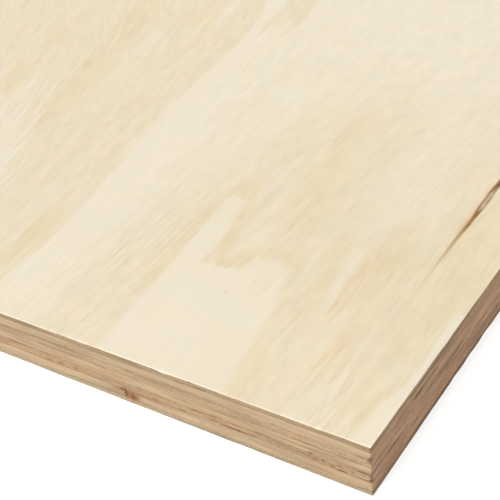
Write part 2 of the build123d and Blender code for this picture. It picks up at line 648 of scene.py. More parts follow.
class PlyMesh:
    """The mesh of one ply: its wall of columns and rows, its two faces and its bake map."""

    def __init__(self, outline, rows, sanded_rows, face_areas, strips, strip_area):
        self.outline = outline
        self.columns = len(outline.points)
        self.rows, self.sanded_rows = rows, sanded_rows
        self.vertices = list(wall_vertices(outline, rows))
        self.polygons, self.map_points, self.finishes = [], [], []
        self.face_areas = face_areas
        self.add_wall(strips, strip_area)

    def add(self, polygon, map_points, finish):
        """Add a polygon with the map point of each of its corners and its finish."""
        self.polygons.append(polygon)
        self.map_points.extend(map_points)
        self.finishes.append(finish)

    def add_wall(self, strips, area):
        """The cut edge, in strips of equal length on the bake map."""
        run = self.outline.run
        strip_length = run[-1] / strips
        strip_height = (area.high - area.low) / strips
        shares = np.linspace(STRIP_MARGIN, 1 - STRIP_MARGIN, len(self.rows))
        for column in range(self.columns):
            following = (column + 1) % self.columns
            strip = min(int(run[column] / strip_length), strips - 1)
            left = (run[column] - strip * strip_length) / strip_length
            right = min((run[column + 1] - strip * strip_length) / strip_length, 1.0)
            for row in range(len(self.rows) - 1):
                base, above = row * self.columns, (row + 1) * self.columns
                polygon = (base + column, base + following, above + following, above + column)
                bottom = area.low + (strip + shares[row]) * strip_height
                top = area.low + (strip + shares[row + 1]) * strip_height
                corners = ((left, bottom), (right, bottom), (right, top), (left, top))
                self.add(polygon, corners, "face" if row in self.sanded_rows else "edge")

    def map_point(self, index, area):
        """Where a vertex of a face lies on the bake map."""
        place = (Vector(self.vertices[index]) - SHEET_LOW) / MM
        share_x = min(max(place.x / SHEET.x, 0), 1)
        share_y = min(max(place.y / SHEET.y, 0), 1)
        return share_x, area.low + share_y * (area.high - area.low)

    def add_face(self, indices, which, finish):
        """A polygon of the upper or the lower face."""
        area = self.face_areas[which]
        self.add(tuple(indices), [self.map_point(index, area) for index in indices], finish)

    def loop(self, which):
        """Vertices of the wall's top or bottom row, anticlockwise from above."""
        first = 0 if which == "lower" else (len(self.rows) - 1) * self.columns
        return list(range(first, first + self.columns))

    def object(self, name, materials):
        """A Blender object of this mesh."""
        mesh = bpy.data.meshes.new(name)
        mesh.from_pydata([tuple(vertex) for vertex in self.vertices], [], self.polygons)
        bake_map = mesh.uv_layers.new(name="OFBake")
        bake_map.data.foreach_set("uv", np.array(self.map_points, np.float32).ravel())
        for finish in materials:
            mesh.materials.append(materials[finish])
        order = list(materials)
        slots = [order.index(finish) for finish in self.finishes]
        mesh.polygons.foreach_set("material_index", slots)
        mesh.update()
        mesh.validate()
        mesh.set_sharp_from_angle(angle=SHARP_ANGLE)
        # The large faces stay flat, or the rounds at their rims would tilt their shading
        mesh.polygons.foreach_set("use_smooth", [len(polygon) == 4 for polygon in self.polygons])
        mesh.update()
        piece = bpy.data.objects.new(name, mesh)
        bpy.context.scene.collection.objects.link(piece)
        return piece


def streak_half_width(u):
    """Half the width of the pitch streak, which comes to a point at both ends."""
    middle = STREAK_START + STREAK_LENGTH / 2
    share = np.clip(1 - ((u - middle) / (STREAK_LENGTH / 2)) ** 2, 0, 1)
    return STREAK_WIDTH / 2 * share


def streak_drop(u, v, depth):
    """How deep the pitch streak lies below the face: two grooves beside a low rib of wood."""
    half = streak_half_width(u) + 1e-6  # never 0, because shares of it are taken
    wander = STREAK_WANDER * ripple(u / STREAK_WANDER_LENGTH, 0 * u, STREAK_SEED)
    middle = STREAK_ACROSS + (u - STREAK_LEVEL_AT) * STREAK_LEAN
    share = np.abs(v - middle - wander) / half
    rising = np.clip((u - STREAK_START - RIB_START) / RIB_RISE, 0, 1)
    rib = RIB_HEIGHT * bump(share / RIB_SHARE) * rising
    walls = np.clip((1.0 - share) / WALL_SHARE, 0, 1)
    swells = ripple(u / STREAK_ROUGH_LENGTH, v / STREAK_ROUGH_WIDTH, STREAK_SEED + 1)
    rough = 1 + STREAK_ROUGH * swells
    deep = np.clip((half - STREAK_SHALLOW) / (STREAK_DEEP - STREAK_SHALLOW), 0, 1)
    return depth * walls * (1 - rib) * rough * deep


def add_streak_grid(ply_mesh, sizes):
    """A fine grid over the pitch streak. Its vertices are given back, line by line."""
    near_tip, far_tip = STREAK_START, STREAK_START + STREAK_LENGTH
    along = np.arange(near_tip - GRID_MARGIN, far_tip + GRID_MARGIN, GRID_STEP)
    across = STREAK_ACROSS + np.linspace(-GRID_MARGIN, GRID_MARGIN, GRID_LINES)
    corner = np.array(MARKED_CORNER) / MM
    grid = []
    for v in across:
        first = len(ply_mesh.vertices)
        grid.append(list(range(first, first + len(along))))
        drop = streak_drop(along, np.full_like(along, v), sizes.streak_depth / MM)
        for u, fall in zip(along, drop):
            ply_mesh.vertices.append((corner + (u, v, -fall)) * MM)
    for line, following in zip(grid, grid[1:]):
        for column in range(len(along) - 1):
            near_side = line[column : column + 2]
            far_side = following[column : column + 2][::-1]
            ply_mesh.add_face(near_side + far_side, "upper", "face")
    return grid


def add_streaked_face(ply_mesh, sizes):
    """The upper face with the pitch streak: a fine grid there, between two large polygons."""
    grid = add_streak_grid(ply_mesh, sizes)
    middle = len(grid) // 2
    left = [line[0] for line in grid]
    right = [line[-1] for line in grid]
    low_line, high_line = grid[0][1:-1], grid[-1][1:-1]
    loop = ply_mesh.loop("upper")
    points = ply_mesh.outline.points

    def nearest(edge):
        there = [i for i in range(len(points)) if ply_mesh.outline.edges[i] == edge]
        return min(there, key=lambda i: abs(points[i][1] - STREAK_ACROSS))

    far, near = nearest("far_end"), nearest("end")
    below = loop[: far + 1] + right[middle::-1] + low_line[::-1] + left[: middle + 1] + loop[near:]
    above = loop[far : near + 1] + left[middle:] + high_line + right[middle:][::-1]
    ply_mesh.add_face(below, "upper", "face")
    ply_mesh.add_face(above, "upper", "face")


def make_ply(ply, outline, seed, materials, sizes):
    """The finished piece for one ply."""
    rows = edge_rows(outline, ply, seed, sizes)
    if ply.name == "face_veneer":
        sanded_rows = range(len(PLY_ROWS) - 1, len(rows))
        areas = {"upper": SHOWN_FACE, "lower": HIDDEN_FACE}
        strips, strip_area = VENEER_STRIPS, VENEER_EDGE
    elif ply.name == "back_veneer":
        sanded_rows = range(ARRIS_STEPS)
        areas = {"upper": HIDDEN_FACE, "lower": SHOWN_FACE}
        strips, strip_area = VENEER_STRIPS, VENEER_EDGE
    else:
        sanded_rows = ()
        areas = {"upper": HIDDEN_FACE, "lower": OTHER_HIDDEN_FACE}
        strips, strip_area = INNER_STRIPS, INNER_EDGE
    ply_mesh = PlyMesh(outline, rows, sanded_rows, areas, strips, strip_area)
    if ply.name == "face_veneer":
        add_streaked_face(ply_mesh, sizes)
    else:
        ply_mesh.add_face(ply_mesh.loop("upper"), "upper", "face")
    ply_mesh.add_face(ply_mesh.loop("lower")[::-1], "lower", "face")
    piece = ply_mesh.object(ply.name + "_wood", materials)
    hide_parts(ply.name)
    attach(piece, BODY)
    return piece


# Finishes


class Amount:
    """A number that varies over a surface. Arithmetic with it adds math nodes to its tree."""

    def __init__(self, tree, socket):
        self.tree, self.socket = tree, socket

    def math(self, operation, *others):
        """This number and others through one math node."""
        node = self.tree.nodes.new("ShaderNodeMath")
        node.operation = operation
        for place, value in zip(node.inputs, (self, *others)):
            plug(value, place)
        return Amount(self.tree, node.outputs[0])

    def __add__(self, other):
        return self.math("ADD", other)

    __radd__ = __add__

    def __sub__(self, other):
        return self.math("SUBTRACT", other)

    def __rsub__(self, other):
        return (self * -1.0) + other

    def __mul__(self, other):
        return self.math("MULTIPLY", other)

    __rmul__ = __mul__

    def __truediv__(self, other):
        return self.math("DIVIDE", other)

    def smooth(self, low, high):
        """0 at low and 1 at high, with an easy change between."""
        node = self.tree.nodes.new("ShaderNodeMapRange")
        node.interpolation_type = "SMOOTHSTEP"
        node.clamp = False
        start, end = (0.0, 1.0) if low < high else (1.0, 0.0)
        plug(self, node.inputs["Value"])
        node.inputs["From Min"].default_value = min(low, high)
        node.inputs["From Max"].default_value = max(low, high)
        node.inputs["To Min"].default_value = start
        node.inputs["To Max"].default_value = end
        return Amount(self.tree, node.outputs["Result"])

    def clamped(self, low=0.0, high=1.0):
        """This number, kept between two limits."""
        return self.math("MAXIMUM", low).math("MINIMUM", high)


def plug(value, place):
    """Set a node's input to a number, or link it to an Amount or a socket."""
    if isinstance(value, Amount):
        value.tree.links.new(value.socket, place)
    elif isinstance(value, bpy.types.NodeSocket):
        value.id_data.links.new(value, place)
    else:
        place.default_value = value


THROUGH = 1000.0  # half size of a patch down into the wood, so that it has no end there
NOISE_SHIFT = (913.0, 377.0, 191.0)  # how far a seed moves a random figure
SPECULAR = 0.3


class WoodFinish:
    """A wood material being made: its node tree, and the places in it in millimetres."""

    def __init__(self, name):
        self.material = bpy.data.materials.new(name)
        self.material.use_nodes = True
        self.tree = self.material.node_tree
        self.shader = self.tree.nodes["Principled BSDF"]
        where = self.tree.nodes.new("ShaderNodeTexCoord").outputs["Object"]
        from_corner = self.vector_math("SUBTRACT", where, tuple(MARKED_CORNER))
        self.place = self.vector_math("MULTIPLY", from_corner, (1 / MM, 1 / MM, 1 / MM))
        self.u, self.v, height = self.parts(self.place)
        self.depth = height * -1.0

    def parts(self, vector):
        """The three numbers of a vector."""
        node = self.tree.nodes.new("ShaderNodeSeparateXYZ")
        plug(vector, node.inputs[0])
        return [Amount(self.tree, output) for output in node.outputs]

    def joined(self, *numbers):
        """A vector of up to three numbers."""
        node = self.tree.nodes.new("ShaderNodeCombineXYZ")
        for place, number in zip(node.inputs, numbers):
            plug(number, place)
        return node.outputs[0]

    def vector_math(self, operation, *vectors):
        """A vector made of others by one vector math node."""
        node = self.tree.nodes.new("ShaderNodeVectorMath")
        node.operation = operation
        for place, vector in zip(node.inputs, vectors):
            plug(vector, place)
        return node.outputs[0]

    def local(self, place, middle, size, lean=0.0):
        """A place as seen from a middle, along a lean in degrees, in units of a size."""
        node = self.tree.nodes.new("ShaderNodeMapping")
        node.vector_type = "TEXTURE"
        plug(place, node.inputs["Vector"])
        node.inputs["Location"].default_value = middle
        node.inputs["Rotation"].default_value = (0, 0, math.radians(lean))
        node.inputs["Scale"].default_value = size
        return node.outputs[0]

    def nearness(self, place, patch):
        """1 at the middle of a patch, falling evenly to 0 at its rim."""
        middle, size = (patch.u, patch.v, 0), (patch.length, patch.width, THROUGH)
        local = self.local(place, middle, size, patch.lean)
        node = self.tree.nodes.new("ShaderNodeTexGradient")
        node.gradient_type = "SPHERICAL"
        plug(local, node.inputs["Vector"])
        return Amount(self.tree, node.outputs["Fac"])

    def length_of(self, vector):
        """The length of a vector."""
        node = self.tree.nodes.new("ShaderNodeVectorMath")
        node.operation = "LENGTH"
        plug(vector, node.inputs[0])
        return Amount(self.tree, node.outputs["Value"])

    def noise(self, place, size, seed, detail=2.0):
        """Random figure around 0.5, in swells of a size in millimetres."""
        middle = [seed * step for step in NOISE_SHIFT]
        local = self.local(place, middle, size)
        node = self.tree.nodes.new("ShaderNodeTexNoise")
        node.inputs["Scale"].default_value = 1.0
        node.inputs["Detail"].default_value = detail
        plug(local, node.inputs["Vector"])
        return Amount(self.tree, node.outputs["Fac"])

    def streaks(self, place, size, seed, detail=2.0):
        """Random figure with its swells spread evenly from 0 to 1."""
        return self.noise(place, size, seed, detail).smooth(0.28, 0.72)

    def curve(self, along, points, span):
        """A line through given points, each a place along and its value, both under a span."""
        share = along / span
        node = self.tree.nodes.new("ShaderNodeFloatCurve")
        node.mapping.extend = "HORIZONTAL"
        line = node.mapping.curves[0]
        while len(line.points) < len(points):
            line.points.new(0.5, 0.5)
        for point, (x, y) in zip(line.points, points):
            point.location = (x / span, y / span)
        node.mapping.update()
        plug(share, node.inputs["Value"])
        return Amount(self.tree, node.outputs[0]) * span

    def mix(self, share, first, second, blend="MIX"):
        """Two colours mixed by a share."""
        node = self.tree.nodes.new("ShaderNodeMix")
        node.data_type = "RGBA"
        node.blend_type = blend
        by_identifier = {place.identifier: place for place in node.inputs}
        plug(share, by_identifier["Factor_Float"])
        plug(first, by_identifier["A_Color"])
        plug(second, by_identifier["B_Color"])
        return next(output for output in node.outputs if output.identifier == "Result_Color")

    def shaded(self, colour, shade):
        """A colour multiplied by a shade."""
        node = self.tree.nodes.new("ShaderNodeVectorMath")
        node.operation = "SCALE"
        plug(colour, node.inputs[0])
        plug(shade, node.inputs["Scale"])
        return node.outputs[0]

    def done(self, colour, roughness, relief, relief_size):
        """Link the colour, the roughness and the fine relief, and give the material."""
        plug(colour, self.shader.inputs["Base Color"])
        plug(roughness, self.shader.inputs["Roughness"])
        self.shader.inputs["Specular IOR Level"].default_value = SPECULAR
        fine_relief = self.tree.nodes.new("ShaderNodeBump")
        fine_relief.inputs["Strength"].default_value = 1.0
        fine_relief.inputs["Distance"].default_value = relief_size * MM
        plug(relief, fine_relief.inputs["Height"])
        plug(fine_relief.outputs[0], self.shader.inputs["Normal"])
        return self.material


# Figure of the face at the marked corner, in millimetres from it

# A soft patch: middle, half sizes, lean in degrees, strength
Patch = namedtuple("Patch", "u v length width lean strength")

# The growth ring that bounds the tan wood above it, through points at u and v
RING_SPAN = 320.0
UPPER_RING = [
    (0, 139.5), (18, 140.7), (36, 141.3), (54, 143.9), (90, 151.0), (117, 156.3),
    (142, 160.7), (190, 165.2), (210, 168.8), (226, 173.0), (236, 178.0), (320, 212.0),
]
# The sharp lower side of the tan tongue beyond the ring
TONGUE_SIDE = [(0, 100), (200, 147.0), (212, 148.2), (227, 150.5), (246, 155.8), (320, 178.0)]
TONGUE = Patch(247, 159, 41, 18, 10, 1.35)

TAN_PATCHES = [
    Patch(118, 122, 105, 24, 4, 0.22),
    Patch(22, 107, 120, 15, 3, 0.74),
    Patch(22, 122, 34, 11, 4, 0.32),
    Patch(95, 101, 76, 13, 4, 0.50),
    Patch(142, 96, 60, 15, 5, 0.50),
    Patch(186, 88, 40, 12, 8, 0.26),
    Patch(192, 122, 50, 46, 8, 0.08),
    Patch(104, 75, 84, 27, 4, 0.86),
    Patch(150, 71, 62, 19, 5, 0.48),
    Patch(118, 52, 100, 26, 2, 0.46),
    Patch(140, 33, 90, 18, 1, 0.40),
    Patch(42, 47, 82, 15, 4, 0.78),
    Patch(78, 13, 120, 20, 0, 1.00),
    Patch(36, 32, 62, 13, 0, 0.62),
    Patch(70, 31, 40, 10, 0, 0.50),
    Patch(-2, 32, 22, 18, 0, 0.62),
    Patch(128, 22, 46, 15, 0, 0.40),
    Patch(184, 42, 24, 13, 3, 0.26),
    Patch(84, 36, 18, 9, 3, 0.35),
]
PALE_PATCHES = [
    Patch(94, 212, 38, 12, 42, 0.70),
    Patch(66, 190, 24, 8, 44, 0.70),
    Patch(124, 226, 16, 6, 26, 0.68),
    Patch(221, 190, 20, 3.4, 13, 0.80),
    Patch(202, 185.5, 8, 2.4, 14, 0.45),
    Patch(184, 205, 24, 6.0, 14, 0.42),
    Patch(193, 260, 14, 4.5, 16, 0.45),
    Patch(236, 172, 15, 5.0, 22, 0.80),
    Patch(58, 158, 34, 2.6, 12, 0.20),
    Patch(52, 39.5, 18, 3.0, 6, 0.45),
    Patch(24, 42, 12, 3.0, 4, 0.35),
    Patch(103, 141.5, 70, 12, 9, 0.48),
    Patch(14, 17, 10, 4, 0, 0.45),
    Patch(90, 141.5, 26, 9, 9, 0.28),
    Patch(70, 135, 44, 9, 5, 0.22),
    Patch(250, 100, 46, 60, 10, 0.08),
]
HONEY_PATCHES = [
    Patch(138, 209, 58, 12.0, 15, 0.40),
    Patch(205, 228, 76, 15.0, 17, 0.50),
    Patch(150, 216, 14, 5.0, 17, 0.35),
    Patch(212, 197, 17, 8.0, 14, 0.40),
    Patch(126, 171, 14, 7.0, 10, 0.32),
    Patch(163, 192, 12, 7.0, 20, 0.22),
    Patch(130, 242, 22, 10.0, 34, 0.60),
    Patch(172, 248, 50, 12.0, 18, 0.26),
    Patch(34, 147.0, 20, 7.5, 6, 0.60),
    Patch(48, 151.5, 14, 7.0, 10, 0.55),
    Patch(222, 152.0, 13, 4.0, 10, 0.40),
    Patch(218, 162.5, 16, 5.5, 14, 0.55),
    Patch(240, 154, 14, 4.5, 14, 0.35),
    Patch(180, 226, 20, 8, 17, 0.25),
    Patch(60, 86, 14, 6.0, 8, 0.35),
    Patch(68.5, 86.5, 20, 6, 17, 0.56),
    Patch(54, 79, 8, 8, 0, 0.40),
    Patch(61, 72, 12, 3.6, -28, 0.40),
    Patch(94, 95.0, 12, 7.0, 0, 0.55),
    Patch(60, 60, 12, 6.0, 20, 0.30),
    Patch(90, 66, 34, 9.0, 3, 0.30),
    Patch(100, 74, 34, 12.0, 6, 0.56),
    Patch(140, 82, 34, 8.0, 8, 0.46),
    Patch(82, 100.5, 28, 3.6, 2, 0.42),
    Patch(12, 42.0, 14, 4.0, 8, 0.40),
    Patch(57, 45.0, 15, 3.4, 3, 0.70),
    Patch(76, 48.5, 20, 3.0, 5, 0.50),
    Patch(69, 33.5, 36, 9.0, 0, 0.78),
    Patch(36, 25, 34, 8, -2, 0.42),
    Patch(23, 25, 13, 6, -8, 0.45),
    Patch(77, 25, 24, 7, 0, 0.32),
    Patch(78, 8, 105, 19, 0, 0.56),
    Patch(14, 10.2, 10, 2.2, -8, 0.40),
    Patch(4, 16, 9, 5, 0, 0.35),
]
RUST_PATCHES = [
    Patch(46, 43, 18, 3.4, 5, 0.24),
    Patch(50, 35.5, 18, 3.2, 4, 0.26),
    Patch(70, 36.5, 26, 4.2, 3, 0.34),
    Patch(78, 31, 20, 5.0, 0, 0.18),
    Patch(28, 25.5, 14, 3.6, -8, 0.28),
    Patch(28, 17.5, 9, 3.6, -5, 0.26),
    Patch(3, 17, 7, 3.6, -10, 0.30),
    Patch(58, 7.5, 13, 3.0, -3, 0.26),
    Patch(109, 204, 15, 5.0, 36, 0.32),
    Patch(157, 220, 20, 4.2, 22, 0.20),
    Patch(198, 231, 18, 4.4, 24, 0.14),
    Patch(64, 99, 14, 2.4, 5, 0.26),
    Patch(88, 99.6, 9, 2.6, 2, 0.34),
    Patch(143, 82.5, 12, 4.0, 8, 0.18),
    Patch(193, 174, 13, 10.0, 20, 0.18),
    Patch(20, 152, 10, 3.4, 15, 0.22),
    Patch(124, 176, 14, 6.0, 20, 0.12),
]
DARK_THREADS = [
    Patch(19, 114.4, 8.5, 1.0, 6, 0.60),
    Patch(31, 117.0, 9, 0.9, 8, 0.45),
    Patch(45.5, 115.3, 9.5, 1.2, 6, 0.95),
    Patch(29, 105.0, 8, 1.3, 3, 0.55),
    Patch(14, 102.5, 9, 1.2, 5, 0.50),
    Patch(66.5, 107.2, 4, 1.3, 0, 0.55),
    Patch(32.5, 109.4, 4, 1.5, 0, 0.45),
    Patch(15, 25.0, 11, 2.2, 0, 0.45),
    Patch(46, 5.1, 18, 0.8, 0, 0.50),
    Patch(73, 47.0, 12, 0.9, 5, 0.40),
    Patch(56, 20.6, 16, 0.8, 0, 0.45),
    Patch(96, 33.5, 14, 0.8, 3, 0.40),
    Patch(144, 33.0, 11, 0.9, 2, 0.50),
    Patch(140, 29.5, 10, 0.9, 2, 0.45),
    Patch(129, 131.5, 5, 1.4, -60, 0.35),
    Patch(118, 129.0, 13, 1.4, 28, 0.25),
    Patch(203, 98.0, 4, 2.4, -45, 0.35),
]
SPECKS = [Patch(39.2, 70.0, 0.9, 0.8, 0, 1.0), Patch(40.6, 67.6, 1.2, 0.5, 0, 0.4)]

# Where the grain of the face shows more, and where less
LIVELY_PATCHES = [
    Patch(30, 108, 80, 30, 3, 0.30),
    Patch(215, 90, 70, 70, 8, 0.22),
    Patch(45, 32, 60, 28, 5, -0.22),
]

# The pale wood inside the lower growth ring, and that at the very corner, as slabs with round
# corners: middle, half sizes, lean in degrees, corner radius
Slab = namedtuple("Slab", "u v length width lean corner")
ISLAND = [
    Slab(-20, 73.8, 70, 16.5, 0.3, 10),
    Slab(-2, 57.6, 43, 12.4, 11, 8),
    Slab(43.0, 61.8, 17.5, 7.2, 9, 7.0),
    Slab(50, 91.2, 38, 4.3, 8.0, 4.2),
]
CORNER_PATCH = [Slab(-30, -3, 54, 11, -4, 9), Slab(10, -2, 50, 4.0, 0, 3.0)]
SLAB_BLEND = 7.0  # how softly one slab runs into the next

# Where the island's shore is soft, and where tan wood shows on it
SOFT_SHORES = [
    Patch(58, 60, 20, 14, 20, 2.2),
    Patch(86, 95, 14, 8, 10, 1.3),
    Patch(20, 46, 26, 7, 9, 0.8),
]
ISLAND_TINTS = [
    Patch(80, 95, 24, 9, 8, 0.36),
    Patch(57, 63, 13, 10, 20, 0.34),
    Patch(3, 52, 26, 10, 8, 0.22),
]


def shore(finish, place, slabs):
    """Distance in millimetres outside a blend of round slabs, below 0 inside them."""
    nearest = None
    for slab in slabs:
        local = finish.local(place, (slab.u, slab.v, 0), (1, 1, 1), slab.lean)
        core = (slab.length - slab.corner, slab.width - slab.corner, THROUGH)
        over = finish.vector_math("SUBTRACT", finish.vector_math("ABSOLUTE", local), core)
        outside = finish.vector_math("MAXIMUM", over, (0, 0, 0))
        distance = finish.length_of(outside) - slab.corner
        nearest = distance if nearest is None else nearest.math("SMOOTH_MIN", distance, SLAB_BLEND)
    return nearest


def patches(finish, place, spots, core=0.2):
    """The sum of soft patches, each full in its core and 0 at its rim."""
    total = None
    for spot in spots:
        amount = finish.nearness(place, spot).smooth(0.0, 1.0 - core) * spot.strength
        total = amount if total is None else total + amount
    return total


def streaky(amount, figure, share):
    """An amount from 0 to 1 that a streaky figure raises and lowers wherever there is some."""
    present = (amount * 3.0).math("MINIMUM", 1.0)  # full from a third up
    return (amount + (figure - 0.5) * present * share).clamped()


GRAIN_FAN_FROM = 95.0  # the grain of the marked corner fans out above this v
GRAIN_FAN_MIDDLE = 200.0  # and keeps its spacing at this u
GRAIN_FAN = 0.0029  # by this share for each millimetre
GRAIN_FAN_MOST = 0.6  # and no further than this
GRAIN_FAN_U = (620, 280)  # where the fan fades in towards the corner, along u
GRAIN_FAN_V = (640, 260)  # and along v
GRAIN_SWAY = 90.0  # how far the grain strays across the sheet away from the marked corner
GRAIN_WAVER = 7.0  # and everywhere, in shorter waves


def along_grain(finish):
    """The place measured along and across the grain, which fans out at the marked corner."""
    near = finish.u.smooth(*GRAIN_FAN_U) * finish.v.smooth(*GRAIN_FAN_V)
    lift = (finish.v - GRAIN_FAN_FROM).math("MAXIMUM", 0.0)
    narrowing = ((finish.u - GRAIN_FAN_MIDDLE) * -GRAIN_FAN).clamped(-GRAIN_FAN_MOST, GRAIN_FAN_MOST)
    spread = narrowing.math("EXPONENT") - 1.0
    sway = (finish.noise(finish.place, (420, 150, 300), 1, 1.0) - 0.5) * (1.0 - near) * GRAIN_SWAY
    waver = (finish.noise(finish.place, (65, 20, 60), 2, 1.0) - 0.5) * GRAIN_WAVER
    across = finish.v + lift * spread * near + sway + waver
    return finish.joined(finish.u, across, finish.depth)


RING_COUNT = 14.0  # growth rings from the lowest to the highest of a broad swell
RING_SWEEP = 1.8  # and of a smaller one on it
RING_EDGE = 0.96  # share of a ring's width at which its dark latewood ends
RING_DARKENING = 1.7


def rotary_figure(finish, grain, seed):
    """Figure of rotary-cut pine: bands that darken slowly and end sharply at a growth ring."""
    swell = finish.noise(grain, (700, 120, 400), seed, 1.0)
    sweep = finish.noise(grain, (230, 40, 400), seed + 1, 1.0)
    band = (swell * RING_COUNT + sweep * RING_SWEEP).math("FRACT")
    return band.math("POWER", RING_DARKENING) * band.smooth(1.0, RING_EDGE)


Streaks = namedtuple("Streaks", "broad middling fine grit mottle")


def face_streaks(finish, grain):
    """Streaks along the grain from broad to fine, and the grit and mottle of a sanded surface."""
    return Streaks(
        broad=finish.streaks(grain, (70, 7.0, 60), 3),
        middling=finish.streaks(grain, (27, 2.3, 30), 4),
        fine=finish.streaks(grain, (9.5, 1.0, 9), 5, 3.0),
        grit=finish.noise(finish.place, (2.4, 1.7, 4), 6),
        mottle=finish.noise(grain, (10, 5.0, 20), 9),
    )


Shores = namedtuple("Shores", "upper just_below tongue outside island_ring corner_ring")

# Places along u between which a ring line fades in towards the corner
ISLAND_RING_U = (125.0, 70.0)
CORNER_RING_U = (60.0, 15.0)

# Heights over the upper ring between which the strip of wood just below it fades in
JUST_BELOW_RING = (-24.0, -3.0)


def face_shores(finish, place, ragged):
    """Where one wood of the face meets another: at the upper ring, the tongue beyond it, the pale
    island and the very corner. Places across a shore are in millimetres."""
    above = finish.v - finish.curve(finish.u, UPPER_RING, RING_SPAN) + ragged * 0.5
    upper = above.smooth(-1.2, 0.7)
    just_below = above.smooth(*JUST_BELOW_RING) * above.smooth(0.5, -0.5)
    tongue = finish.v - finish.curve(finish.u, TONGUE_SIDE, RING_SPAN) + ragged * 0.6
    tongue = tongue.smooth(-0.7, 1.2)
    tongue = tongue * patches(finish, finish.place, [TONGUE])
    island = shore(finish, place, ISLAND)
    corner = shore(finish, place, CORNER_PATCH)
    soft = patches(finish, finish.place, SOFT_SHORES) + 1.5
    outside = (island / soft).smooth(-1.0, 1.1) * corner.smooth(-0.8, 1.6)
    uneven = finish.noise(finish.place, (17, 12, 20), 16, 1.0).smooth(0.25, 0.70)
    island_ring = (island / soft).smooth(-1.0, 0.8) * island.smooth(8.0, 1.4)
    island_ring = island_ring * finish.u.smooth(*ISLAND_RING_U)
    island_ring = island_ring * (0.35 + uneven * 0.75)
    corner_ring = corner.smooth(-0.8, 0.6) * corner.smooth(3.6, 1.0)
    corner_ring = corner_ring * finish.u.smooth(*CORNER_RING_U)
    return Shores(upper, just_below, tongue, outside, island_ring, corner_ring)


def corner_woods(finish, loose, shores):
    """How much tan, honey and rust wood there is at the marked corner."""
    low_tan = (1.0 - shores.upper) * patches(finish, loose, TAN_PATCHES).math("MINIMUM", 1.05)
    low_tan = low_tan * (1.0 - shores.just_below * 0.8) + shores.island_ring * 0.45
    high_tan = shores.upper * 0.80 + shores.tongue
    pale = patches(finish, loose, PALE_PATCHES)
    tan = (low_tan + high_tan - pale) * shores.outside + patches(finish, loose, ISLAND_TINTS) + 0.12
    honey = patches(finish, loose, HONEY_PATCHES) * shores.outside
    honey = honey + shores.island_ring * 0.46 + shores.corner_ring * 0.40
    rust = patches(finish, loose, RUST_PATCHES)
    return tan, honey, rust


PAINTED_HIGHLIGHT_V = (0.60, 0.25)  # the painted highlight along the marked long edge and its arris fades in between these
PALER_END_U = (62.0, 8.0)  # and so does a lightening of the face towards the marked end, along u


def face_shade(finish, place, streaks, tan, outside, here):
    """Light and dark of the face, with a painted highlight along the marked long edge. The grain stands
    out in the tan wood and at the marked corner, and hardly shows in pale wood."""
    lively = patches(finish, finish.place, LIVELY_PATCHES) + 0.60 + tan * 0.45
    lively = lively * (outside * 0.70 + 0.30)
    flecks = streaks.fine.smooth(0.62, 1.0) * (0.25 + tan * 0.75)
    threads = patches(finish, place, DARK_THREADS, 0.1) * here
    specks = patches(finish, finish.place, SPECKS, 0.3)
    grainy = (0.5 - streaks.fine) * 0.018 + (0.5 - streaks.middling) * 0.034 - flecks * 0.018
    # Painted highlight: rim lightens the face colour along the marked long edge and over its arris,
    # standing in for light caught there
    rim = finish.v.smooth(*PAINTED_HIGHLIGHT_V)
    grainy = grainy + (streaks.grit - 0.5) * 0.078 + (streaks.mottle - 0.5) * 0.130
    paler_end = finish.u.smooth(*PALER_END_U)
    shade = 1.006 + lively * grainy - threads * 0.080 - specks * 0.16
    return shade + rim * 0.24 + paler_end * 0.020


CORNER_U = (430.0, 270.0)  # where the listed figure takes over towards the corner, along u
CORNER_V = (410.0, 255.0)  # and along v
FACE_TINTS = ((1.007, 0.998, 0.981, 1.0), (0.994, 1.001, 1.014, 1.0))


def face_finish(colours):
    """Sanded pine: pale wood with a soft tan figure, streaks along the grain and a pitch streak."""
    finish = WoodFinish("sanded_face")
    grain = along_grain(finish)
    streaks = face_streaks(finish, grain)
    broad, middling, fine = streaks.broad, streaks.middling, streaks.fine
    figure = broad * 0.48 + middling * 0.36 + fine * 0.16
    other_figure = broad * -0.40 + middling * 0.55 + fine * 0.45 + 0.20
    drift = (finish.noise(grain, (26, 5.0, 40), 7) - 0.5) * 5.0

    # Every boundary breaks into fingers along the grain and strays a little across it
    fingers = (middling - 0.5) * 7.0 + (fine - 0.5) * 3.5
    little = finish.joined(fingers * 0.22 + drift * 0.5, drift * 0.25, 0.0)
    place = finish.vector_math("ADD", finish.place, little)
    loose = finish.vector_math("ADD", finish.place, finish.joined(fingers * 2.2, drift, 0.0))
    ragged = (middling - 0.5) * 1.0 + (fine - 0.5) * 0.5

    shores = face_shores(finish, place, ragged)
    tan, honey, rust = corner_woods(finish, loose, shores)
    here = finish.u.smooth(*CORNER_U) * finish.v.smooth(*CORNER_V)
    elsewhere = rotary_figure(finish, grain, 8) * (1.0 - here)
    tan = streaky((tan * here + elsewhere).clamped(), figure, 0.52)
    honey = streaky((honey * here + elsewhere.math("POWER", 3.0) * 0.6).clamped(), other_figure, 0.42)
    rust = streaky((rust * here + elsewhere.math("POWER", 8.0) * 0.4).clamped(), fine, 0.4)
    shade = face_shade(finish, place, streaks, tan, shores.outside, here)

    cast = finish.streaks(finish.place, (14, 10, 20), 12, 1.0)
    tint = finish.mix(cast, *FACE_TINTS)
    colour = finish.mix(tan, srgb(*colours.pale), srgb(*colours.tan))
    colour = finish.mix(honey, colour, srgb(*colours.honey))
    colour = finish.mix(rust, colour, srgb(*colours.rust))
    colour = finish.shaded(finish.mix(1.0, colour, tint, "MULTIPLY"), shade)
    colour = with_pitch_streak(finish, colour, colours)
    return finish.done(colour, roughness=0.60, relief=fine, relief_size=0.03)


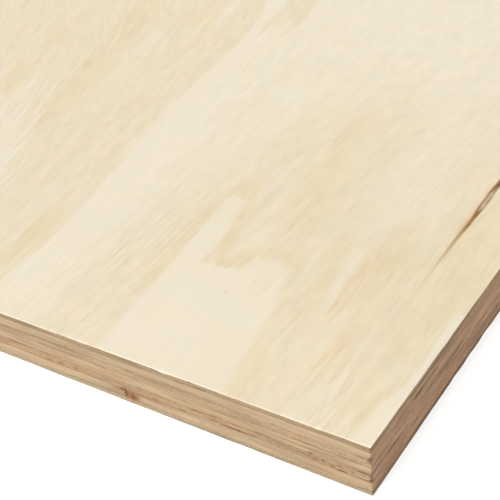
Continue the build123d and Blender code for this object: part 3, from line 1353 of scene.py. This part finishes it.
# The pitch streak's half width and how dark it is, at places along u
STREAK_SPAN = 260.0
STREAK_HALF_WIDTHS = [
    (0, 0.2), (66, 0.35), (78, 0.46), (88, 0.58), (98, 0.64), (108, 0.74), (113, 1.05),
    (119, 1.20), (125, 1.08), (130, 1.00), (140, 1.15), (170, 0.9), (194, 0.2), (260, 0.1),
]
STREAK_DARKNESS = [
    (0, 0), (58, 0), (70, 0.10), (78, 0.27), (86, 0.42), (90, 0.55), (94, 0.61),
    (98, 0.71), (102, 0.84), (106, 0.83), (110, 0.94), (115, 0.76), (122, 0.86), (126, 0.96),
    (131, 1.05), (180, 0.9), (196, 0.2), (204, 0), (260, 0),
]

# Orange glows beside it, and the colours of its halo, its glows, its faint start and its far part
GLOWS = [
    Patch(102, 19.3, 9, 1.5, 1, 0.55),
    Patch(113, 20.0, 7, 1.2, 3, 0.35),
    Patch(125, 20.5, 8, 1.1, 2, 0.35),
    Patch(95, 14.2, 3, 1.2, 0, 0.25),
]
HALO_COLOUR = (0.83, 0.72, 0.47)
GLOW_COLOUR = (0.90, 0.745, 0.60)
START_COLOUR = (0.64, 0.49, 0.20)
FAR_COLOUR = (0.40, 0.22, 0.05)

# Places along u between which each part of it changes: the one with none of it, then the one with
# all of it
BEND_START = (119.0, 125.0)
BEND_END = (132.0, 127.0)
MIDDLE_START = (110.0, 115.0)
MIDDLE_LOSS = (121.0, 128.0)
HALO_END = (122.0, 108.0)
PITCH_START = (88.0, 104.0)
FAR_START = (124.0, 134.0)

BEND_ASIDE = 0.18  # how far to the side the streak lies in its bend
HALO_ASIDE = 0.15  # how far to the side its halo lies
HALO_REACH = (2.2, 0.5)  # how far from its own middle the halo ends, and up to where it is full


def with_pitch_streak(finish, colour, colours):
    """The pitch streak over a face colour: a faint yellow start, dark borders, a lighter middle.
    The share is how far a place lies from its middle line, in its half widths."""
    u = finish.u
    wander = (finish.noise(finish.place, (13, 500, 500), 10) - 0.5) * 0.6
    across = finish.v - STREAK_ACROSS - (u - STREAK_LEVEL_AT) * STREAK_LEAN - wander
    bend = u.smooth(*BEND_START) * u.smooth(*BEND_END)
    across = across - bend * BEND_ASIDE
    half = finish.curve(u, STREAK_HALF_WIDTHS, STREAK_SPAN)
    share = across.math("ABSOLUTE") / half
    darkness = finish.curve(u, STREAK_DARKNESS, STREAK_SPAN)
    rough = finish.noise(finish.place, (1.8, 0.6, 4.0), 11, 3.0)
    middle = share.smooth(0.80, 0.20) * u.smooth(*MIDDLE_START)
    middle = middle * (1.0 - u.smooth(*MIDDLE_LOSS) * 0.8)
    body = share.smooth(1.40, 0.55) * darkness
    body = body * (1.0 - (across / half).smooth(-0.1, -0.9) * bend * 0.45)
    broken = finish.noise(finish.place, (2.6, 0.9, 4.0), 17, 1.0).smooth(0.30, 0.62)
    dark = (body * (1.0 - middle * (0.20 + broken * 0.42)) * (1.3 - rough * 0.6)).clamped()
    halo = (across - HALO_ASIDE).math("ABSOLUTE").smooth(*HALO_REACH)
    halo = halo * darkness * u.smooth(*HALO_END)
    glows = patches(finish, finish.place, GLOWS, 0.1)
    colour = finish.mix((halo * 0.42).clamped(), colour, srgb(*HALO_COLOUR))
    colour = finish.mix(glows.clamped(), colour, srgb(*GLOW_COLOUR))
    ripe = finish.mix(u.smooth(*PITCH_START), srgb(*START_COLOUR), srgb(*colours.pitch))
    ripe = finish.mix(u.smooth(*FAR_START), ripe, srgb(*FAR_COLOUR))
    return finish.mix(dark, colour, ripe)


def back_finish(colours):
    """Sanded pine of the back: the same wood, plainer and a little darker."""
    finish = WoodFinish("sanded_back")
    grain = along_grain(finish)
    streaks = finish.streaks(grain, (70, 6.0, 60), 13)
    fine = finish.streaks(grain, (12, 1.0, 8), 14, 3.0)
    figure = rotary_figure(finish, grain, 15)
    tan = streaky(figure, streaks * 0.6 + fine * 0.4, 0.6)
    colour = finish.mix(tan, srgb(*colours.pale), srgb(*colours.tan))
    colour = finish.mix((figure * figure * 0.6).clamped(), colour, srgb(*colours.honey))
    colour = finish.shaded(colour, 0.94 + (fine - 0.5) * 0.06 + (streaks - 0.5) * 0.03)
    return finish.done(colour, roughness=0.66, relief=fine, relief_size=0.03)


CUT_TINTS = ((1.035, 0.975, 0.925, 1.0), (0.975, 1.015, 1.03, 1.0))
GLUE_SHADE = (0.60, 0.10)  # how far from a glue line the wood darkens: it fades in between these


def cut_finish(ply, seed, colours):
    """The sawn edge of a ply: long or end grain by the way its grain runs, glue lines and marks."""
    finish = WoodFinish(ply.name + "_cut")
    low, high = (corner.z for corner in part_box(ply.name))
    top_depth, bottom_depth = (SHEET_HIGH.z - high) / MM, (SHEET_HIGH.z - low) / MM
    normal = finish.tree.nodes.new("ShaderNodeNewGeometry").outputs["True Normal"]
    facing_x, facing_y, _ = (part.math("ABSOLUTE") for part in finish.parts(normal))
    on_end = (facing_x - facing_y).smooth(-0.2, 0.2)
    end_grain = on_end if ply.grain == "long" else 1.0 - on_end
    run = finish.u * (1.0 - on_end) + finish.v * on_end

    # Growth rings lie nearly flat in peeled veneer: lines that wander slowly across its thickness
    wander = (finish.noise(finish.place, (34, 34, 400), seed + 50, 1.0) - 0.5) * 2.4
    flat = finish.joined(finish.u, finish.v, finish.depth + wander)
    rings = finish.noise(flat, (46.0, 46.0, 0.78), seed, 3.0)
    latewood = rings.smooth(0.50, 0.72)
    fibres = finish.streaks(flat, (13.0, 13.0, 0.42), seed + 10, 2.0)
    pores = finish.streaks(finish.place, (0.62, 0.62, 0.50), seed + 20, 2.0)
    blotches = finish.streaks(finish.place, (17.0, 17.0, 2.4), seed + 30, 3.0)

    # The figure shows more on the long sides than on the ends
    bold = 3.6 - on_end * 1.35
    shade = 1.01 + bold * ((rings - 0.5) * -0.15 - latewood * 0.09 + (fibres - 0.5) * 0.10 + 0.013)
    shade = shade + bold * (blotches - 0.5) * 0.075 + (pores - 0.5) * (end_grain * 0.24 + 0.05)

    # Wood darkens beside a glue line, most of all where it is end grain
    edge_gap = (finish.depth - top_depth).math("MINIMUM", bottom_depth - finish.depth)
    glue = edge_gap.smooth(*GLUE_SHADE) * (0.3 + blotches * 0.7) * (0.05 + end_grain * 0.13)
    shade = shade - glue

    warmth = finish.streaks(finish.place, (9.0, 9.0, 1.5), seed + 40, 2.0)
    tint = finish.mix(warmth, *CUT_TINTS)
    colour = finish.mix(on_end, srgb(*ply.side_tone), srgb(*ply.end_tone))
    colour = finish.shaded(finish.mix(1.0, colour, tint, "MULTIPLY"), shade)
    # Mark colours: knots, bare fibre, and torn wood with painted shade in tears and breakouts
    mark_colours = mark_colours_on(finish, seed, (top_depth, bottom_depth), on_end, run)
    for stain in sorted(mark_colours):
        colour = finish.mix(mark_colours[stain], colour, srgb(*getattr(colours, stain)))
    return finish.done(colour, roughness=0.78, relief=fibres * 0.7 + pores * 0.3, relief_size=0.05)


MARK_COLOUR_REACH = (4.0, 2.0)  # how far into the wood a mark's colour goes: it fades between these
MARK_COLOUR_LENGTH = 1.1  # of a mark's colour, in lengths of its mark
MARK_COLOUR_HEIGHT = 1.5  # and in heights of its mark
MARK_COLOUR_CORE = 0.15
BREAKOUT_TORN_AND_SHADE = 0.85  # strength of the torn colour in a breakout: torn wood and painted shade in its hollow
BREAKOUT_SHARES = (1.5, 0.4)  # shares of its reach at which that colour ends, and up to which it is full


def mark_colours_on(finish, seed, depths, on_end, run):
    """How strongly each mark colour shows on a cut edge between two depths, by the colour's name."""
    top_depth, bottom_depth = depths
    near = {
        "end": on_end * finish.u.smooth(*MARK_COLOUR_REACH),
        "side": (1.0 - on_end) * finish.v.smooth(*MARK_COLOUR_REACH),
    }
    ragged = (finish.noise(finish.place, (1.5, 1.5, 0.5), seed, 3.0) - 0.5) * 1.0
    flat = finish.joined(run + ragged * 2.0, finish.depth + ragged * 0.6, 0.0)
    mark_colours = {}

    def add_mark_colour(name, amount):
        mark_colours[name] = mark_colours[name].math("MAXIMUM", amount) if name in mark_colours else amount

    for mark in MARKS:
        if top_depth - mark.height < mark.depth < bottom_depth + mark.height:
            length, height = mark.length * MARK_COLOUR_LENGTH, mark.height * MARK_COLOUR_HEIGHT
            spot = Patch(mark.place, mark.depth, length, height, 0, mark.strength)
            amount = patches(finish, flat, [spot], MARK_COLOUR_CORE).math("MINIMUM", 1.0)
            # A torn mark paints shade where its relief bites into the wood
            add_mark_colour(mark.stain, amount * near[mark.edge])
    for breakout in BREAKOUTS:
        if top_depth < breakout.depth < bottom_depth:
            local = finish.local(finish.place, (0, 0, -breakout.depth), (1, 1, 1))
            reach = finish.length_of(local) + ragged * 1.6
            rim, core = (breakout.reach * share for share in BREAKOUT_SHARES)
            # Painted shade: the torn colour darkens the hollow that a breakout left
            add_mark_colour("torn", reach.smooth(rim, core) * BREAKOUT_TORN_AND_SHADE)
    return mark_colours


def seed_of(ply):
    """A number that sets the random figure of a ply apart from the others."""
    return float([one.name for one in PLIES].index(ply.name) + 1)


# Operators

RELIEF_SEEDS = 10  # how many seeds there are for the relief of each ply


def build_plies(scene, names):
    """Make the finished pieces for the named plies."""
    sizes, colours = scene.plywood_sizes, scene.plywood_colours
    outline = Outline(sizes)
    for ply in PLIES:
        if ply.name not in names:
            continue
        seed = seed_of(ply)
        edge = cut_finish(ply, seed, colours)
        if ply.name == "face_veneer":
            face = face_finish(colours)
        elif ply.name == "back_veneer":
            face = back_finish(colours)
        else:
            face = edge
        make_ply(ply, outline, int(seed) * RELIEF_SEEDS, {"edge": edge, "face": face}, sizes)


class PLYWOOD_OT_face_veneer(bpy.types.Operator):
    """Add the face veneer, with its sanded figure and pitch streak"""

    bl_idname = "plywood.face_veneer"
    bl_label = "Face veneer"

    def execute(self, context):
        build_plies(context.scene, ["face_veneer"])
        return {"FINISHED"}


class PLYWOOD_OT_crossbands(bpy.types.Operator):
    """Add the three plies whose grain runs across the sheet"""

    bl_idname = "plywood.crossbands"
    bl_label = "Crossbands"

    def execute(self, context):
        build_plies(context.scene, ["crossband_upper", "crossband_core", "crossband_lower"])
        return {"FINISHED"}


class PLYWOOD_OT_long_plies(bpy.types.Operator):
    """Add the two inner plies whose grain runs along the sheet"""

    bl_idname = "plywood.long_plies"
    bl_label = "Long plies"

    def execute(self, context):
        build_plies(context.scene, ["long_ply_upper", "long_ply_lower"])
        return {"FINISHED"}


class PLYWOOD_OT_back_veneer(bpy.types.Operator):
    """Add the back veneer"""

    bl_idname = "plywood.back_veneer"
    bl_label = "Back veneer"

    def execute(self, context):
        build_plies(context.scene, ["back_veneer"])
        return {"FINISHED"}


class PLYWOOD_OT_stage(bpy.types.Operator):
    """Add the floor, the soft light and the camera"""

    bl_idname = "plywood.stage"
    bl_label = "Stage"

    FLOOR_SIZE = 80.0
    FLOOR_COLOUR = (0.8, 0.8, 0.8, 1)
    FLOOR_GLOW = 0.62  # what lifts the floor to white where it is seen directly
    WHITE = (1, 1, 1, 1)
    LAMP_SPREAD = math.radians(25)  # how wide the main lamp looks, for soft shadows
    LAMP_DISTANCE = 3.0
    SENSOR_WIDTH = 36.0
    NEAREST_SEEN = 0.01
    FARTHEST_SEEN = 200.0

    def execute(self, context):
        stage = context.scene.plywood_stage
        self.add_floor()
        self.add_light(context.scene, stage)
        self.add_camera(context.scene, stage)
        context.scene.view_settings.view_transform = "Standard"
        return {"FINISHED"}

    def seen_directly(self, tree):
        """1 where the camera, a reflection or a view through glass looks, and 0 for lighting."""
        path = tree.nodes.new("ShaderNodeLightPath")
        camera = Amount(tree, path.outputs["Is Camera Ray"])
        glossy = Amount(tree, path.outputs["Is Glossy Ray"])
        through = Amount(tree, path.outputs["Is Transmission Ray"])
        return camera.math("MAXIMUM", glossy).math("MAXIMUM", through)

    def add_floor(self):
        """A plain pale floor under the sheet."""
        half = self.FLOOR_SIZE / 2
        mesh = bpy.data.meshes.new("floor")
        corners = [(-half, -half, 0), (half, -half, 0), (half, half, 0), (-half, half, 0)]
        mesh.from_pydata(corners, [], [(0, 1, 2, 3)])
        material = bpy.data.materials.new("floor_white")
        material.use_nodes = True
        tree = material.node_tree
        shader = tree.nodes["Principled BSDF"]
        shader.inputs["Base Color"].default_value = self.FLOOR_COLOUR
        shader.inputs["Roughness"].default_value = 1.0
        shader.inputs["Specular IOR Level"].default_value = 0.0
        shader.inputs["Emission Color"].default_value = self.WHITE
        plug(self.seen_directly(tree) * self.FLOOR_GLOW, shader.inputs["Emission Strength"])
        mesh.materials.append(material)
        floor = bpy.data.objects.new("floor", mesh)
        floor.location.z = SHEET_LOW.z
        bpy.context.scene.collection.objects.link(floor)

    def add_light(self, scene, stage):
        """Soft light from all round, and one wide lamp."""
        world = bpy.data.worlds.new("soft_sky")
        world.use_nodes = True
        scene.world = world
        tree = world.node_tree
        background = tree.nodes["Background"]
        background.inputs["Color"].default_value = self.WHITE
        seen = self.seen_directly(tree)
        plug(seen * (1.0 - stage.sky) + stage.sky, background.inputs["Strength"])
        lamp = bpy.data.lights.new("main_light", "SUN")
        lamp.energy = stage.sun
        lamp.angle = self.LAMP_SPREAD
        sun = bpy.data.objects.new("main_light", lamp)
        level = math.cos(stage.sun_height)
        travel = Vector((
            level * math.cos(stage.sun_heading),
            level * math.sin(stage.sun_heading),
            -math.sin(stage.sun_height),
        ))
        sun.rotation_euler = travel.to_track_quat("-Z", "Y").to_euler()
        sun.location = SHEET_HIGH - travel * self.LAMP_DISTANCE
        scene.collection.objects.link(sun)

    def add_camera(self, scene, stage):
        """The camera at the photograph's viewing angle."""
        data = bpy.data.cameras.new("camera")
        data.lens = stage.lens
        data.sensor_width = self.SENSOR_WIDTH
        data.clip_start, data.clip_end = self.NEAREST_SEEN, self.FARTHEST_SEEN
        camera = bpy.data.objects.new("camera", data)
        heading = Matrix.Rotation(stage.camera_heading - math.pi / 2, 4, "Z")
        dip = Matrix.Rotation(math.pi / 2 - stage.camera_dip, 4, "X")
        roll = Matrix.Rotation(stage.camera_roll, 4, "Z")
        place = Matrix.Translation(MARKED_CORNER + Vector(stage.camera_place))
        camera.matrix_world = place @ heading @ dip @ roll
        scene.collection.objects.link(camera)
        scene.camera = camera


class PLYWOOD_PT_sheet(bpy.types.Panel):
    """Lists the sheet's pieces, its settings and its stage."""

    bl_idname = "PLYWOOD_PT_sheet"
    bl_label = "Plywood sheet"
    bl_space_type = "VIEW_3D"
    bl_region_type = "UI"
    bl_category = "Plywood"

    def draw(self, context):
        layout = self.layout
        for operator in OPERATORS:
            layout.operator(operator.bl_idname)
        for title, group in (
            ("Sizes", context.scene.plywood_sizes),
            ("Colours", context.scene.plywood_colours),
            ("Stage", context.scene.plywood_stage),
        ):
            box = layout.box()
            box.label(text=title)
            for name in group.__annotations__:
                box.prop(group, name)


OPERATORS = (
    PLYWOOD_OT_face_veneer,
    PLYWOOD_OT_crossbands,
    PLYWOOD_OT_long_plies,
    PLYWOOD_OT_back_veneer,
    PLYWOOD_OT_stage,
)
GROUPS = {
    "plywood_sizes": PLYWOOD_PG_sizes,
    "plywood_colours": PLYWOOD_PG_colours,
    "plywood_stage": PLYWOOD_PG_stage,
}


def register():
    for group in GROUPS.values():
        bpy.utils.register_class(group)
    for name, group in GROUPS.items():
        setattr(bpy.types.Scene, name, PointerProperty(type=group))
    for operator in OPERATORS:
        bpy.utils.register_class(operator)
    bpy.utils.register_class(PLYWOOD_PT_sheet)


def unregister():
    bpy.utils.unregister_class(PLYWOOD_PT_sheet)
    for operator in reversed(OPERATORS):
        bpy.utils.unregister_class(operator)
    for name in GROUPS:
        delattr(bpy.types.Scene, name)
    for group in GROUPS.values():
        bpy.utils.unregister_class(group)


def main():
    register()
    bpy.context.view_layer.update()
    bpy.ops.plywood.face_veneer()
    bpy.ops.plywood.crossbands()
    bpy.ops.plywood.long_plies()
    bpy.ops.plywood.back_veneer()
    bpy.ops.plywood.stage()
    bpy.context.view_layer.update()


if __name__ == "__main__":
    main()
